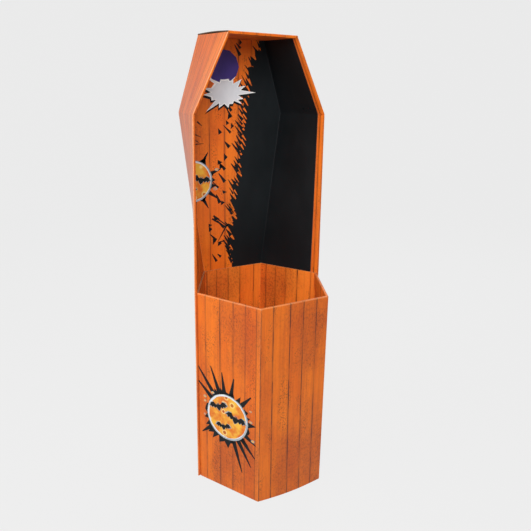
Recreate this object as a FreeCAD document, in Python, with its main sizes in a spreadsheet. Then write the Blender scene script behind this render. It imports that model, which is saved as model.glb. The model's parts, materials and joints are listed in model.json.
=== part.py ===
import FreeCAD, Part
import Sketcher
import os

# Coffin-shaped cardboard display stand: a six-sided dump bin, and a tall tray
# that wraps round the bin's three back faces and rises behind it as a header.
# Frame: the front faces -Y, the left of the stand is -X, the floor is z = 0.
# Lengths are millimetres.

doc = FreeCAD.newDocument("display_stand")

# Driving dimensions. A half width is measured from the middle plane x = 0.
# The wall line is the face where the bin and the header touch. A depth is
# measured from the line of the bin's two side corners.
sizes = doc.addObject("Spreadsheet::Sheet", "sizes")
DRIVING = (
    ("stand_height", 1700.0, "floor to the top of the header"),
    ("rim_height", 790.0, "floor to the rim of the bin"),
    ("shoulder_height", 1427.0, "floor to the widest line of the header's back"),
    ("corner_half_width", 270.0, "wall line, half width at the bin's side corners"),
    ("front_half_width", 144.0, "half width of the bin's front panel"),
    ("back_half_width", 136.0, "wall line, half width of the back panel at the bin"),
    ("front_depth", 254.0, "side corners forward to the front panel"),
    ("back_depth", 234.0, "side corners back to the wall line of the back panel"),
    ("shoulder_front_inset", 5.0, "opening at the shoulder, in from the bin's side corners"),
    ("shoulder_back_half", 219.0, "wall line, half width of the back at the shoulder"),
    ("top_front_half", 129.0, "wall line, half width of the opening at the top"),
    ("top_back_half", 132.0, "wall line, half width of the back at the top"),
    ("shell_board", 4.5, "board of the header's outer sheet"),
    ("liner_board", 4.5, "board of the header's printed inner sheet"),
    ("sleeve_board", 4.5, "board of the bin's sleeve"),
    ("inside_board", 4.5, "board of the tray, the base and the cross supports"),
    ("fit_gap", 0.3, "clearance between sheets that lie on each other"),
    ("edge_hem", 25.0, "outer sheet turned in behind the header's front edges"),
    ("rim_hem", 60.0, "sleeve turned in below the rim of its front panels"),
    ("tray_height", 420.0, "floor to the top of the goods tray"),
    ("tray_flange", 55.0, "depth of the tray's turned-down flanges"),
    ("base_flange", 45.0, "height of the base's turned-up flanges"),
    ("hem_notch", 3.0, "gap between the turned-in edges where they meet at the shoulder"),
    ("hanging_hole", 8.0, "diameter of the holes punched in the liner"),
    ("hole_rise", 17.0, "shoulder line up to the row of holes"),
    ("hole_first_depth", 62.0, "front edges back to the first hole"),
    ("hole_spacing", 34.0, "first hole to second hole"),
)
for row, (alias, value, meaning) in enumerate(DRIVING, start=1):
    sizes.set("A%d" % row, meaning)
    sizes.set("B%d" % row, str(value))
    sizes.setAlias("B%d" % row, alias)
doc.recompute()


def cell(alias):
    """The expression that reads one cell of the sheet."""
    return "<<sizes>>.%s" % alias


def number(expression):
    """The present value of an expression."""
    result = sizes.evalExpression(expression)
    return float(getattr(result, "Value", result))


HEADER_THICKNESS = "(%s + %s + %s)" % (cell("liner_board"), cell("fit_gap"), cell("shell_board"))
FRONT_FACE = "(%s - %s)" % (cell("front_depth"), cell("fit_gap"))
REAR_FACE = "(%s + %s)" % (cell("back_depth"), HEADER_THICKNESS)
CENTRING_SHIFT = "(%s - %s) / 2" % (FRONT_FACE, REAR_FACE)


def new_body(label):
    """A body whose frame is moved so that the whole stand is centred on the origin."""
    body = doc.addObject("PartDesign::Body", label)
    body.Label = label
    body.setExpression("Placement.Base.y", CENTRING_SHIFT)
    return body


def origin_plane(body, role):
    """One of a body's own origin planes."""
    for feature in body.Origin.OriginFeatures:
        if feature.Role == role:
            return feature
    raise ValueError("no origin plane " + role)


def polygon(body, name, corners, height=None, plane="XY_Plane"):
    """A closed polygon. A corner is (side, across, way, along): signs and size expressions."""
    sketch = body.newObject("Sketcher::SketchObject", name)
    sketch.AttachmentSupport = [(origin_plane(body, plane), "")]
    sketch.MapMode = "FlatFace"
    if height is not None:
        sketch.setExpression("AttachmentOffset.Base.z", height)
    points = [
        FreeCAD.Vector(side * number(across), way * number(along), 0)
        for side, across, way, along in corners
    ]
    count = len(points)
    for index in range(count):
        following = points[(index + 1) % count]
        sketch.addGeometry(Part.LineSegment(points[index], following), False)
    origin = (-1, 1)
    for index, (side, across, way, along) in enumerate(corners):
        joined = (index - 1) % count
        sketch.addConstraint(Sketcher.Constraint("Coincident", joined, 2, index, 1))
        corner = (index, 1)
        for kind, sign, size in (("DistanceX", side, across), ("DistanceY", way, along)):
            ends = origin + corner if sign > 0 else corner + origin
            made = sketch.addConstraint(Sketcher.Constraint(kind, *ends, number(size)))
            sketch.setExpression("Constraints[%d]" % made, size)
    return sketch


def pad(body, sketch, length, name):
    """Extrude a sketch upward from its own plane."""
    feature = body.newObject("PartDesign::Pad", name)
    feature.Profile = sketch
    feature.setExpression("Length", length)
    return feature


def pocket(body, sketch, name, length=None, upward=False):
    """Cut a sketch out of the body, through everything or to a length."""
    feature = body.newObject("PartDesign::Pocket", name)
    feature.Profile = sketch
    feature.Reversed = upward
    if length is None:
        feature.Type = "ThroughAll"
        feature.Midplane = True
    else:
        feature.setExpression("Length", length)
    return feature


def loft(body, sketches, name, cuts=False):
    """A ruled loft through the sections, added to the body or cut out of it."""
    kind = "PartDesign::SubtractiveLoft" if cuts else "PartDesign::AdditiveLoft"
    feature = body.newObject(kind, name)
    feature.Profile = sketches[0]
    feature.Sections = sketches[1:]
    feature.Ruled = True
    feature.Closed = False
    return feature


# Sections of the header. A section is the wall line moved outward by an offset:
# straight side walls from the front corners to the back corners, and a back.


def side_slope(front_half, back_half):
    """How much a side wall comes in for each millimetre of depth."""
    return "((%s - %s) / %s)" % (front_half, back_half, cell("back_depth"))


def half_width(front_half, back_half, depth, offset):
    """Half width of the section at a depth, on the wall line moved out by the offset."""
    slope = side_slope(front_half, back_half)
    return "(%s - (%s) * %s + (%s) * sqrt(1 + %s ^ 2))" % (front_half, depth, slope, offset, slope)


def header_section(front_half, back_half, offset, front_depth):
    """The four corners of one header section, from a front depth to the back."""
    back = "(%s + %s)" % (cell("back_depth"), offset)
    front_width = half_width(front_half, back_half, front_depth, offset)
    back_width = half_width(front_half, back_half, back, offset)
    return (
        (-1, front_width, 1, front_depth),
        (-1, back_width, 1, back),
        (1, back_width, 1, back),
        (1, front_width, 1, front_depth),
    )


def below_top(top_half, shoulder_half, drop):
    """Half width at a drop below the top, on the line from the shoulder to the top."""
    rise = "(%s - %s)" % (cell("stand_height"), cell("shoulder_height"))
    return "(%s + (%s - %s) * (%s) / %s)" % (top_half, shoulder_half, top_half, drop, rise)


SHOULDER_FRONT_HALF = "(%s - %s)" % (cell("corner_half_width"), cell("shoulder_front_inset"))
SHOULDER_PAIR = (SHOULDER_FRONT_HALF, cell("shoulder_back_half"))


def pair_below_top(drop):
    """Front and back half width at a drop below the top."""
    return (
        below_top(cell("top_front_half"), SHOULDER_PAIR[0], drop),
        below_top(cell("top_back_half"), SHOULDER_PAIR[1], drop),
    )


def header_levels(drop):
    """Name, height, front half width and back half width of the header's four sections."""
    bin_pair = (cell("corner_half_width"), cell("back_half_width"))
    return (
        ("foot", None) + bin_pair,
        ("rim", cell("rim_height")) + bin_pair,
        ("shoulder", cell("shoulder_height")) + SHOULDER_PAIR,
        ("top", "%s - (%s)" % (cell("stand_height"), drop)) + pair_below_top(drop),
    )


def notch_levels():
    """The three sections of the gap in the hem, which follows the bend of the shoulder."""
    half_notch = "(%s / 2)" % cell("hem_notch")
    high = "(%s + %s)" % (cell("shoulder_height"), half_notch)
    return (
        ("low", "(%s - %s)" % (cell("shoulder_height"), half_notch)) + SHOULDER_PAIR,
        ("middle", cell("shoulder_height")) + SHOULDER_PAIR,
        ("high", high) + pair_below_top("(%s - %s)" % (cell("stand_height"), high)),
    )


def header_loft(body, name, offset, levels, front_depth, cuts=False):
    """The header's form at one offset, lofted through the levels from a front depth back."""
    sketches = []
    for level, height, front_half, back_half in levels:
        corners = header_section(front_half, back_half, offset, front_depth)
        sketches.append(polygon(body, "%s_%s" % (name, level), corners, height))
    return loft(body, sketches, name, cuts)


FRONT_EDGE = "0.0"
LINER_OUTSIDE = cell("liner_board")
SHELL_INSIDE = "(%s + %s)" % (cell("liner_board"), cell("fit_gap"))
LINER_ROOF_TOP = "(%s + %s)" % (cell("shell_board"), cell("fit_gap"))
LINER_FRONT = "(%s + %s)" % (cell("edge_hem"), cell("fit_gap"))


# A hole is cut with flat sides, which stay sound in the twisted walls at every size.
HOLE_SIDES = 12


def punch_holes(body):
    """Two small holes in each side of the liner, just above the shoulder."""
    height = "(%s + %s)" % (cell("shoulder_height"), cell("hole_rise"))
    second = "(%s + %s)" % (cell("hole_first_depth"), cell("hole_spacing"))
    for name, depth in (("first", cell("hole_first_depth")), ("second", second)):
        corners = []
        for corner in range(HOLE_SIDES):
            turn = 360.0 * (corner + 0.5) / HOLE_SIDES
            out = "(%s + %s / 2 * cos(%.1f deg))" % (depth, cell("hanging_hole"), turn)
            up = "(%s + %s / 2 * sin(%.1f deg))" % (height, cell("hanging_hole"), turn)
            corners.append((1, out, 1, up))
        pocket(body, polygon(body, name + "_hole", corners, plane="YZ_Plane"), name + "_holes")


def make_header_shell():
    """Outer sheet: back, long sides, shoulders and roof, turned in at the front edges."""
    body = new_body("header_shell")
    header_loft(body, "outside", HEADER_THICKNESS, header_levels("0"), FRONT_EDGE)
    below_roof = header_levels(cell("shell_board"))
    header_loft(body, "liner_room", SHELL_INSIDE, below_roof, cell("edge_hem"), cuts=True)
    header_loft(body, "opening", "0", header_levels(HEADER_THICKNESS), FRONT_EDGE, cuts=True)
    header_loft(body, "notch", LINER_OUTSIDE, notch_levels(), cell("shell_board"), cuts=True)
    return body


def make_header_liner():
    """Printed inner sheet, which lies against the outer one and stops at its hem."""
    body = new_body("header_liner")
    header_loft(body, "sheet", LINER_OUTSIDE, header_levels(LINER_ROOF_TOP), LINER_FRONT)
    header_loft(body, "inside", "0", header_levels(HEADER_THICKNESS), LINER_FRONT, cuts=True)
    punch_holes(body)
    return body


# The bin and what is inside it share one six-sided outline, moved inward.
FRONT_SLOPE = "((%s - %s) / %s)" % (
    cell("corner_half_width"), cell("front_half_width"), cell("front_depth"))


def corner_width(inset):
    """Half width at the side corners, on the wall line moved in by the inset."""
    return half_width(cell("corner_half_width"), cell("back_half_width"), "0", "-(%s)" % inset)


def front_corner(inset):
    """Half width and depth of the front panel's corners, moved in by the inset."""
    depth = "(%s - (%s))" % (cell("front_depth"), inset)
    width = "(%s - %s * %s)" % (corner_width(inset), FRONT_SLOPE, depth)
    return width, depth


def back_corner(inset):
    """Half width and depth of the back panel's corners, moved in by the inset."""
    depth = "(%s - (%s))" % (cell("back_depth"), inset)
    width = half_width(cell("corner_half_width"), cell("back_half_width"), depth, "-(%s)" % inset)
    return width, depth


def hexagon(inset):
    """The six corners of the bin's outline, moved in by the inset."""
    side_width = corner_width(inset)
    front_width, front_y = front_corner(inset)
    back_width, back_y = back_corner(inset)
    return (
        (-1, front_width, -1, front_y),
        (1, front_width, -1, front_y),
        (1, side_width, 1, "0.0"),
        (1, back_width, 1, back_y),
        (-1, back_width, 1, back_y),
        (-1, side_width, 1, "0.0"),
    )


def rim_hexagon(inset, hem_inset):
    """The inside of the rim: the three front panels lie further in than the back ones."""
    back_slope = side_slope(cell("corner_half_width"), cell("back_half_width"))
    step = "(%s - %s)" % (corner_width(inset), corner_width(hem_inset))
    side_y = "(%s / (%s + %s))" % (step, back_slope, FRONT_SLOPE)
    side_width = "(%s - %s * %s)" % (corner_width(inset), back_slope, side_y)
    front_width, front_y = front_corner(hem_inset)
    back_width, back_y = back_corner(inset)
    return (
        (-1, front_width, -1, front_y),
        (1, front_width, -1, front_y),
        (1, side_width, 1, side_y),
        (1, back_width, 1, back_y),
        (-1, back_width, 1, back_y),
        (-1, side_width, 1, side_y),
    )


SLEEVE_OUTSIDE = cell("fit_gap")
SLEEVE_INSIDE = "(%s + %s)" % (SLEEVE_OUTSIDE, cell("sleeve_board"))
RIM_INSIDE = "(%s + %s)" % (SLEEVE_INSIDE, cell("sleeve_board"))
TRAY_OUTSIDE = "(%s + %s)" % (SLEEVE_INSIDE, cell("fit_gap"))
TRAY_INSIDE = "(%s + %s)" % (TRAY_OUTSIDE, cell("inside_board"))
SUPPORT_OUTSIDE = "(%s + %s)" % (TRAY_INSIDE, cell("fit_gap"))
TRAY_FOOT = "(%s - %s - %s)" % (cell("tray_height"), cell("inside_board"), cell("tray_flange"))
SUPPORT_FOOT = "(%s + %s)" % (cell("inside_board"), cell("fit_gap"))
SUPPORT_TOP = "(%s - %s - %s)" % (cell("tray_height"), cell("inside_board"), cell("fit_gap"))


def make_bin_sleeve():
    """Six-sided sleeve; its three front panels are turned in and doubled at the rim."""
    body = new_body("bin_sleeve")
    pad(body, polygon(body, "wall_outline", hexagon(SLEEVE_OUTSIDE)), cell("rim_height"), "wall")
    below_hem = "(%s - %s)" % (cell("rim_height"), cell("rim_hem"))
    inside = polygon(body, "inside_outline", hexagon(SLEEVE_INSIDE))
    pocket(body, inside, "inside", below_hem, upward=True)
    mouth = polygon(body, "mouth_outline", rim_hexagon(SLEEVE_INSIDE, RIM_INSIDE))
    pocket(body, mouth, "mouth")
    return body


def make_goods_tray():
    """Shelf that the goods lie on, with flanges turned down inside the sleeve."""
    body = new_body("goods_tray")
    block_height = "(%s + %s)" % (cell("inside_board"), cell("tray_flange"))
    pad(body, polygon(body, "tray_outline", hexagon(TRAY_OUTSIDE), TRAY_FOOT), block_height, "block")
    under = polygon(body, "under_outline", hexagon(TRAY_INSIDE), TRAY_FOOT)
    pocket(body, under, "under", cell("tray_flange"), upward=True)
    return body


def make_base_tray():
    """Bottom of the bin on the floor, with flanges turned up inside the sleeve."""
    body = new_body("base_tray")
    block_height = "(%s + %s)" % (cell("inside_board"), cell("base_flange"))
    pad(body, polygon(body, "base_outline", hexagon(TRAY_OUTSIDE)), block_height, "block")
    above = polygon(body, "above_outline", hexagon(TRAY_INSIDE), cell("inside_board"))
    pocket(body, above, "above", cell("base_flange"), upward=True)
    return body


def slotted_board(label, plane, left, right, slot_at_top):
    """An upright board of the cross support, with a slot to half its height."""
    body = new_body(label)
    corners = (
        (-1, left, 1, SUPPORT_FOOT),
        (1, right, 1, SUPPORT_FOOT),
        (1, right, 1, SUPPORT_TOP),
        (-1, left, 1, SUPPORT_TOP),
    )
    sheet = pad(body, polygon(body, "sheet_outline", corners, plane=plane), cell("inside_board"), "sheet")
    sheet.Midplane = True
    middle = "(%s + %s) / 2" % (SUPPORT_FOOT, SUPPORT_TOP)
    half_slot = "(%s / 2 + %s)" % (cell("inside_board"), cell("fit_gap"))
    low = "(%s - %s / 2)" % (middle, cell("fit_gap")) if slot_at_top else "0.0"
    high = cell("tray_height") if slot_at_top else "(%s + %s / 2)" % (middle, cell("fit_gap"))
    slot_corners = (
        (-1, half_slot, 1, low),
        (1, half_slot, 1, low),
        (1, half_slot, 1, high),
        (-1, half_slot, 1, high),
    )
    pocket(body, polygon(body, "slot_outline", slot_corners, plane=plane), "slot")
    return body


def make_cross_supports():
    """Two upright boards that interlock below the goods tray."""
    back_slope = side_slope(cell("corner_half_width"), cell("back_half_width"))
    edge_taper = "(%s / 2 * %s)" % (cell("inside_board"), back_slope)
    across = "(%s - %s)" % (corner_width(SUPPORT_OUTSIDE), edge_taper)
    forward = front_corner(SUPPORT_OUTSIDE)[1]
    backward = back_corner(SUPPORT_OUTSIDE)[1]
    wide = slotted_board("support_across", "XZ_Plane", across, across, slot_at_top=True)
    deep = slotted_board("support_fore_aft", "YZ_Plane", forward, backward, slot_at_top=False)
    return wide, deep


pieces = [
    make_header_shell(),
    make_header_liner(),
    make_bin_sleeve(),
    make_goods_tray(),
    make_base_tray(),
    *make_cross_supports(),
]
doc.recompute()

for item in doc.Objects:
    if "Invalid" in item.State or "Error" in item.State:
        raise RuntimeError("%s did not compute: %s" % (item.Label, item.State))
for piece in pieces:
    if piece.Shape.isNull() or not piece.Shape.isValid():
        raise RuntimeError("%s has no valid shape" % piece.Label)

os.makedirs("parts", exist_ok=True)
for piece in pieces:
    piece.Shape.exportStep(os.path.join("parts", piece.Label + ".step"))
    box = piece.Shape.BoundBox
    print("%-18s solids %d volume %.0f x %.1f..%.1f y %.1f..%.1f z %.1f..%.1f" % (
        piece.Label, len(piece.Shape.Solids), piece.Shape.Volume,
        box.XMin, box.XMax, box.YMin, box.YMax, box.ZMin, box.ZMax))
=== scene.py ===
# %% [markdown]
# # A printed cardboard display stand
# The stand is made of folded sheets of board: a tall header tray with a printed
# lining, and a six-sided bin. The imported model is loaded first. It fixes every
# place and size, and the pieces made here take its place on screen.

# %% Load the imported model
import json
import math
import random
from collections import namedtuple
import bmesh
import bpy
import numpy as np
from mathutils import Matrix, Vector

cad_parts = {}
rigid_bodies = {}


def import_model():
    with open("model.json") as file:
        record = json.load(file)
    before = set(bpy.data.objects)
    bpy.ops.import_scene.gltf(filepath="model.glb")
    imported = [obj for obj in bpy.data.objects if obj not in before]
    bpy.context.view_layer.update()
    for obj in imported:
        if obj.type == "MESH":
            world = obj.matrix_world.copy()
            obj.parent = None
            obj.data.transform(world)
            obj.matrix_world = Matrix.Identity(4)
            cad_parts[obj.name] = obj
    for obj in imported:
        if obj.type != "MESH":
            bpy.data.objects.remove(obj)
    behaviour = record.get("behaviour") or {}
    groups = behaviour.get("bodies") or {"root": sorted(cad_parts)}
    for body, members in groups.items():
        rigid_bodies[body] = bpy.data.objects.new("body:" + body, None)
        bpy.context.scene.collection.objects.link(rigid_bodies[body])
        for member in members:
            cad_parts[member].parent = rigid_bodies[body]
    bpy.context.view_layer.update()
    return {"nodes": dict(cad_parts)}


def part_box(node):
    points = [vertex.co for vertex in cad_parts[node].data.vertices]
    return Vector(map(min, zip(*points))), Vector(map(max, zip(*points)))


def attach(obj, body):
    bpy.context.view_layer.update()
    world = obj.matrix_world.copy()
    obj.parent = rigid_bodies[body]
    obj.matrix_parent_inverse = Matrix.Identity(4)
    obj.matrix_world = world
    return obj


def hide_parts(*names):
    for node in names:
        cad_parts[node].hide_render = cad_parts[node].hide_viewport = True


for thing in list(bpy.data.objects):
    bpy.data.objects.remove(thing)
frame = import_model()
print("nodes:", ", ".join(sorted(frame["nodes"])))

# %% [markdown]
# ## Sizes
# Blender works in metres. The lengths below are those of the solid model, so each
# modelled sheet lies where its solid lies. The front edges of the header stand on
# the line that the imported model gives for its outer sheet.

# %% Sizes of the sheets
FRONT_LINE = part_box("header_shell")[0][1]
STAND_TOP = 1.700
RIM = 0.790
SHOULDER = 1.427
BACK_DEPTH = 0.234
FRONT_DEPTH = 0.254
BOARD = 0.0045
GAP = 0.0003
HEM = 0.025
RIM_HEM = 0.060
SHELL_INSIDE = BOARD + GAP
SHELL_OUTSIDE = 2 * BOARD + GAP
OPENING_TOP = STAND_TOP - SHELL_OUTSIDE
print("front line at", round(FRONT_LINE, 5))

# %% [markdown]
# Blender keeps a shape in a mesh and shows it through an object. A mesh can be
# edited as a bmesh, which is then written back.

# %% Making meshes and objects
def add_thing(name, data):
    """Makes an object and puts it in the scene."""
    thing = bpy.data.objects.new(name, data)
    bpy.context.collection.objects.link(thing)
    return thing


def mesh_from(work, name, materials):
    """Writes a bmesh to a new mesh with its finishes."""
    mesh = bpy.data.meshes.new(name)
    work.to_mesh(mesh)
    work.free()
    for material in materials:
        mesh.materials.append(material)
    return mesh


# %% [markdown]
# ## A socket that does sums
# A material is a graph of nodes. Wiring every sum by hand is long, so this small
# class wraps a socket and lets Python's operators add the Math nodes. The reflected
# forms make `1 - mask` work as well as `mask - 1`.

# %% The socket class and the finish class
class Value:
    """A number in a material's graph."""

    def __init__(self, finish, socket):
        self.finish = finish
        self.socket = socket

    def __add__(self, other):
        return self.finish.sums("ADD", self, other)

    def __radd__(self, other):
        return self.finish.sums("ADD", other, self)

    def __sub__(self, other):
        return self.finish.sums("SUBTRACT", self, other)

    def __rsub__(self, other):
        return self.finish.sums("SUBTRACT", other, self)

    def __mul__(self, other):
        return self.finish.sums("MULTIPLY", self, other)

    def __rmul__(self, other):
        return self.finish.sums("MULTIPLY", other, self)

    def __truediv__(self, other):
        return self.finish.sums("DIVIDE", self, other)


class Finish:
    """One material, built node by node."""

    def __init__(self, name):
        self.material = bpy.data.materials.new(name)
        self.material.use_nodes = True
        self.tree = self.material.node_tree
        self.shader = self.tree.nodes["Principled BSDF"]

    def link(self, socket, value):
        """Sets a socket, or links it where the value comes from another node."""
        if isinstance(value, Value):
            self.tree.links.new(value.socket, socket)
        else:
            socket.default_value = value

    def node(self, kind, settings=None, inputs=None, output=0):
        """Adds a node: its settings first, then the values or links of its sockets."""
        made = self.tree.nodes.new(kind)
        for name, value in (settings or {}).items():
            setattr(made, name, value)
        for name, value in (inputs or {}).items():
            self.link(made.inputs[name], value)
        return Value(self, made.outputs[output])

    def sums(self, operation, *values):
        """A Math node."""
        return self.node("ShaderNodeMath", {"operation": operation}, dict(enumerate(values)))

    def colour_mix(self, mask, below, above):
        """Mixes two colours, with the mask as the share of the second."""
        return self.node("ShaderNodeMix", {"data_type": "RGBA"}, {0: mask, 6: below, 7: above}, 2)

    def coats(self, colour, *layers):
        """Lays screen colours over a colour, each through its own mask."""
        for mask, tint in layers:
            colour = self.colour_mix(mask, colour, rgb(*tint))
        return colour

    def smooth(self, value, start, end, low=0.0, high=1.0):
        """A soft step of the value from start to end."""
        inputs = {"Value": value, "From Min": start, "From Max": end, "To Min": low, "To Max": high}
        return self.node("ShaderNodeMapRange", {"interpolation_type": "SMOOTHSTEP"}, inputs)

    def bumped(self, height, strength=0.2, distance=0.0006):
        """A surface direction from a height in the range 0 to 1."""
        inputs = {"Strength": strength, "Distance": distance, "Height": height}
        return self.node("ShaderNodeBump", None, inputs)

    def shade(self, **sockets):
        """Sets or links the shader's own sockets, with underscores for spaces."""
        for name, value in sockets.items():
            self.link(self.shader.inputs[name.replace("_", " ")], value)
        return self.material


def rgb(red, green, blue):
    """A screen colour, 0 to 255, as the linear colour that a node wants."""
    shares = [part / 255 for part in (red, green, blue)]
    linear = [part / 12.92 if part <= 0.04045 else ((part + 0.055) / 1.055) ** 2.4 for part in shares]
    return (*linear, 1.0)


print("orange as linear:", [round(part, 3) for part in rgb(226, 118, 52)])

# %% [markdown]
# ## Where the sheet's print lies
# Every face carries two sets of print coordinates, called UV maps. `sheet` holds
# metres along the board and up it, so grain and flutes have their real size. `planks`
# counts the printed boards, so its whole numbers are the joints between two planks.
# The `fold` attribute is 1 on a crease and 0 on the flat, for the wear and the painted highlight there.

# %% Nodes that every board finish starts from
FLUTE = 0.0066


class BoardFinish(Finish):
    """A finish for board, with its print coordinates ready."""

    def __init__(self, name):
        super().__init__(name)
        sheet, planks = (self.node("ShaderNodeUVMap", {"uv_map": label}) for label in ("sheet", "planks"))
        self.across = self.node("ShaderNodeSeparateXYZ", None, {0: sheet}, 0)
        self.along = self.node("ShaderNodeSeparateXYZ", None, {0: sheet}, 1)
        self.count = self.node("ShaderNodeSeparateXYZ", None, {0: planks}, 0)
        self.fold = self.node("ShaderNodeAttribute", {"attribute_name": "fold"}, None, "Fac")

    def stretched(self, wide, tall, seed=0.0):
        """Print coordinates in metres, stretched for a texture."""
        inputs = {"X": self.across * wide, "Y": self.along * tall, "Z": seed}
        return self.node("ShaderNodeCombineXYZ", None, inputs)

    def noise(self, wide, tall, detail=3.0, seed=0.0, rough=0.55):
        """Noise from 0 to 1, with its grain stretched along the board."""
        place = self.stretched(wide, tall, seed)
        inputs = {"Vector": place, "Scale": 1.0, "Detail": detail, "Roughness": rough}
        return self.node("ShaderNodeTexNoise", None, inputs)

    def chance(self, number):
        """A random tone that is the same wherever the number is."""
        return self.node("ShaderNodeTexWhiteNoise", {"noise_dimensions": "1D"}, {"W": number})

    def wave(self):
        """The board's wavy core, from -1 to 1."""
        return self.sums("SINE", self.across * (2 * math.pi / FLUTE))

    def flutes(self):
        """The faint ribs that the core leaves in the board's face."""
        return self.wave() * 0.5 + 0.5


print("one flute every", FLUTE * 1000, "mm")

# %% [markdown]
# ## Printed planks
# The sheets are printed with worn orange planks. Each plank has its own tone, from
# White Noise on its number. The joints are dark lines of uneven width, and the grain
# is noise stretched along the plank. Patches of dark specks gather on some planks.
# It changes only colour and, a little, the gloss. Most of it is ink; the pale paper at the folds is wear and
# partly a painted highlight.

# %% The plank print
ORANGE_LIGHT = rgb(243, 127, 22)
ORANGE_DEEP = rgb(206, 80, 12)
YELLOWISH = (250, 152, 52)
WORN_PAPER_AND_HIGHLIGHT = (246, 178, 126)
PLANK = 0.056
PALE_PLANKS = ((705.0, 0.12), (711.0, 0.06))


def plank_print(name, light, deep, joints, streaks, rough):
    """Printed planks: their two tones, the strength of joints and grain, and the gloss."""
    made = BoardFinish(name)
    number = made.sums("FLOOR", made.count)
    cloud = made.noise(14, 5, 3, seed=1.7)
    grain = made.noise(420, 9, 4, seed=number * 3.1)
    fine = made.noise(900, 120, 2, seed=5.0)
    speckle = made.noise(240, 150, 4, seed=number * 1.3 + 9, rough=0.7)
    patch = made.noise(18, 6, 3, seed=number * 2.3 + 3)
    mottle = made.noise(130, 95, 4, seed=13.0, rough=0.7)
    grime = made.noise(7, 3.5, 4, seed=40.0)
    # the plank's own colour, its grain, dark blotches that grow denser toward the floor so the planks are
    # darker low down, and specks
    share = made.smooth(cloud * 0.5 + made.chance(number + 0.5) * 0.22 + grain * 0.5 - 0.11, 0.1, 1.0)
    broad = made.smooth(made.noise(105, 2.5, 3, seed=number * 1.9 + 5), 0.45, 0.68)
    streak = made.smooth(grain, 0.58, 0.8) * made.smooth(cloud, 0.35, 0.7)
    blotches_low = made.smooth(grime - made.along * 0.10, 0.34, 0.64)
    spots = made.smooth(mottle, 0.44, 0.68) * (blotches_low * 0.5 + 0.09)
    specks = made.smooth(speckle, 0.52, 0.62) * made.smooth(patch, 0.48, 0.64)
    colour = made.coats(
        made.colour_mix(share, light, deep),
        (broad * streaks, (158, 64, 30)), (streak * 0.45, (150, 62, 22)), (blotches_low * 0.42, (158, 58, 24)),
        (spots, (140, 56, 26)), (specks * 0.7, (92, 46, 24)),
        (made.smooth(fine, 0.66, 0.8) * 0.25, (120, 60, 30)),
        *[(made.sums("COMPARE", number, pale, 0.5) * part, YELLOWISH) for pale, part in PALE_PLANKS])
    # the joints between planks, and the soft shade beside them
    joint = made.sums("ROUND", made.count)
    joint_tone = made.chance(joint + 0.25)
    gap = (0.5 - made.sums("ABSOLUTE", made.sums("FRACT", made.count) - 0.5)) * PLANK
    slow = made.noise(2, 7, 2, seed=joint * 7.9 + 4)
    wobble = made.noise(40, 34, 3, seed=11.0)
    width = 0.0016 * (wobble * 0.9 + slow * 1.7 + joint_tone * 0.4 - 0.45)
    line = 1 - made.smooth(gap / width, 0.3, 1.15)
    depth = made.smooth(made.noise(3, 9, 3, seed=joint * 5.7 + 2), 0.34, 0.6, 0.2, 1.0)
    beside = (1 - made.smooth(gap, 0.0, 0.010)) * (0.12 + patch * 0.2)
    # ink cracked off the paper at the folds, which is also a painted highlight along them
    crack = made.noise(160, 60, 4, seed=21.0, rough=0.7)
    worn_and_highlight = made.smooth(made.fold + crack * 0.5 - 0.25, 0.35, 0.95)
    colour = made.coats(
        colour, (beside, (128, 52, 20)),
        (line * depth * (joint_tone * 0.45 + 0.6) * joints, (66, 32, 22)), (worn_and_highlight * 0.66, WORN_PAPER_AND_HIGHLIGHT))
    height = made.flutes() * 0.5 + made.noise(60, 24, 3, seed=31.0) * 0.9 + fine * 0.12
    return made.shade(
        Base_Color=colour, Roughness=rough + cloud * 0.12 + worn_and_highlight * 0.2,
        Normal=made.bumped(height, 0.22), Specular_IOR_Level=0.38)


wall_planks = plank_print("plank_print_header", ORANGE_LIGHT, ORANGE_DEEP, 0.55, 0.38, 0.28)
bin_planks = plank_print("plank_print_bin", ORANGE_LIGHT, ORANGE_DEEP, 1.45, 0.20, 0.38)
# The bin's inside gets a lighter copy of the plank print: painted light on its inner panels.
inner_planks_painted_light = plank_print("plank_print_bin_inside_painted_light", rgb(255, 150, 50), rgb(250, 106, 30), 1.25, 0.10, 0.38)
liner_planks = plank_print("plank_print_lining", rgb(252, 134, 34), rgb(224, 90, 20), 0.9, 0.12, 0.38)
print("plank print:", len(bin_planks.node_tree.nodes), "nodes")

# %% [markdown]
# ## Black ink, raw edges and plain board
# The lining's right side is one field of black ink with a satin gloss. A cut edge shows the core of the
# board: two paper faces with a wave of paper between them, and the hollows between are painted darker as
# shade. The roof's cut edges are painted darker still, as shade.
# The parts inside the bin are plain brown board.

# %% Black ink
def black_ink(name):
    """The lining's black, with faint clouds, dust and scuffed folds that carry a painted highlight."""
    made = BoardFinish(name)
    cloud = made.noise(9, 4, 3, seed=3.0)
    dust = made.noise(700, 260, 3, seed=6.0, rough=0.7)
    worn_and_highlight = made.smooth(made.fold + dust * 0.5 - 0.25, 0.5, 1.0)
    colour = made.coats(
        rgb(11, 17, 20), (made.smooth(cloud, 0.3, 0.75), (21, 26, 29)),
        (made.smooth(dust, 0.66, 0.8) * 0.25, (64, 62, 60)), (worn_and_highlight * 0.45, (86, 84, 82)))
    height = made.flutes() * 0.45 + made.noise(60, 24, 3, seed=31.0) * 0.8 + dust * 0.12
    return made.shade(
        Base_Color=colour, Roughness=0.5 + cloud * 0.14 + worn_and_highlight * 0.2,
        Normal=made.bumped(height), Specular_IOR_Level=0.22)


lining_black = black_ink("black_ink_lining")
print("black ink:", len(lining_black.node_tree.nodes), "nodes")

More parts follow.
